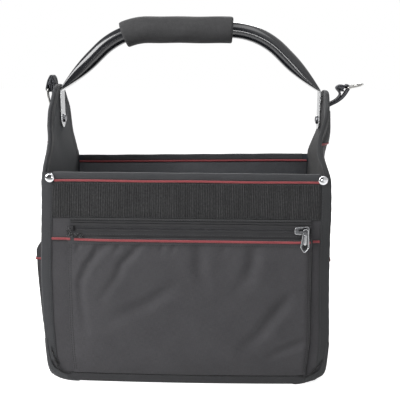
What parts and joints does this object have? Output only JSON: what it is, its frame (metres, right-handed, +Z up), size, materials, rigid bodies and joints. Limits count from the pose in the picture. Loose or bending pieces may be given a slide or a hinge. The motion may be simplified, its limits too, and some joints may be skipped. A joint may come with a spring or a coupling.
{
  "type": "open tool tote with a zippered pocket",
  "caption": "Board-stiffened cloth tool tote with raised ends, a swinging tube handle, end pockets and a zippered front pocket.",
  "frame": {"origin": "on the surface that the bag stands on, under the middle of its base", "axes": "+Z up, +X along the bag towards the right-hand end, -Y towards the side with the zippered pocket"},
  "size_m": [0.4554, 0.2178, 0.5032],
  "materials": {
    "cloth": "matt woven polyester",
    "lining": "matt thin woven lining",
    "board": "plain stiffening board",
    "webbing": "finely ribbed webbing",
    "binding_tape": "flat woven tape",
    "piping": "cloth-covered cord",
    "zip_tape": "knitted tape with a nylon coil",
    "foam": "fine-pored matt foam",
    "gunmetal": "dark plated zinc",
    "chrome": "bright plated",
    "black_paint": "gloss black"
  },
  "bodies": {
    "bag": {"base_cloth": "cloth", "base_board": "board", "front_panel": "cloth", "front_board": "board", "front_lining": "lining", "back_panel": "cloth", "back_board": "board", "back_lining": "lining", "left_end_panel": "cloth", "left_end_board": "board", "left_end_lining": "lining", "left_end_binding": "binding_tape", "right_end_panel": "cloth", "right_end_board": "board", "right_end_lining": "lining", "right_end_binding": "binding_tape", "front_rim_binding": "binding_tape", "front_webbing_band": "webbing", "front_rim_piping": "piping", "back_rim_binding": "binding_tape", "back_webbing_band": "webbing", "back_rim_piping": "piping", "back_inner_pocket": "lining", "back_inner_piping": "piping", "front_pocket": "cloth", "front_pocket_piping": "piping", "left_piping_stub": "piping", "right_piping_stub": "piping", "zip_upper_tape": "zip_tape", "zip_lower_tape": "zip_tape", "zip_left_stop": "gunmetal", "zip_right_stop": "gunmetal", "left_sleeve_pocket": "cloth", "left_sleeve_piping": "piping", "right_sleeve_pocket": "cloth", "right_sleeve_piping": "piping", "left_end_pocket": "cloth", "left_pocket_piping": "piping", "right_end_pocket": "cloth", "right_pocket_piping": "piping", "front_left_corner_patch": "binding_tape", "front_right_corner_patch": "binding_tape", "back_left_corner_patch": "binding_tape", "back_right_corner_patch": "binding_tape", "front_left_rivet": "chrome", "front_right_rivet": "chrome", "back_left_rivet": "chrome", "back_right_rivet": "chrome", "left_handle_rivet": "chrome", "right_handle_rivet": "chrome", "left_ring_tab": "webbing", "right_ring_tab": "webbing"},
    "handle": {"handle_tube": "black_paint", "foam_grip": "foam"},
    "slider": {"zip_slider": "gunmetal"},
    "puller": {"zip_puller": "gunmetal"},
    "left_ring": {"left_d_ring": "chrome"},
    "right_ring": {"right_d_ring": "chrome"}
  },
  "joints": [
    {"name": "handle_swing", "type": "hinge", "parent": "bag", "child": "handle", "pos_m": [0, 0, 0.361], "axis": [1, 0, 0], "range_deg": [-113, 113]},
    {"name": "zip_slide", "type": "slide", "parent": "bag", "child": "slider", "axis": [1, 0, 0], "range_m": [-0.29, 0]},
    {"name": "puller_swing", "type": "hinge", "parent": "slider", "child": "puller", "pos_m": [0.1574, -0.1104, 0.223], "axis": [0, 1, 0], "range_deg": [-90, 40]},
    {"name": "left_ring_swing", "type": "hinge", "parent": "bag", "child": "left_ring", "pos_m": [-0.2015, 0, 0.4028], "axis": [0, 1, 0], "range_deg": [-6, 143]},
    {"name": "right_ring_swing", "type": "hinge", "parent": "bag", "child": "right_ring", "pos_m": [0.2222, 0, 0.4066], "axis": [0, 1, 0], "range_deg": [-150, 107]}
  ]
}
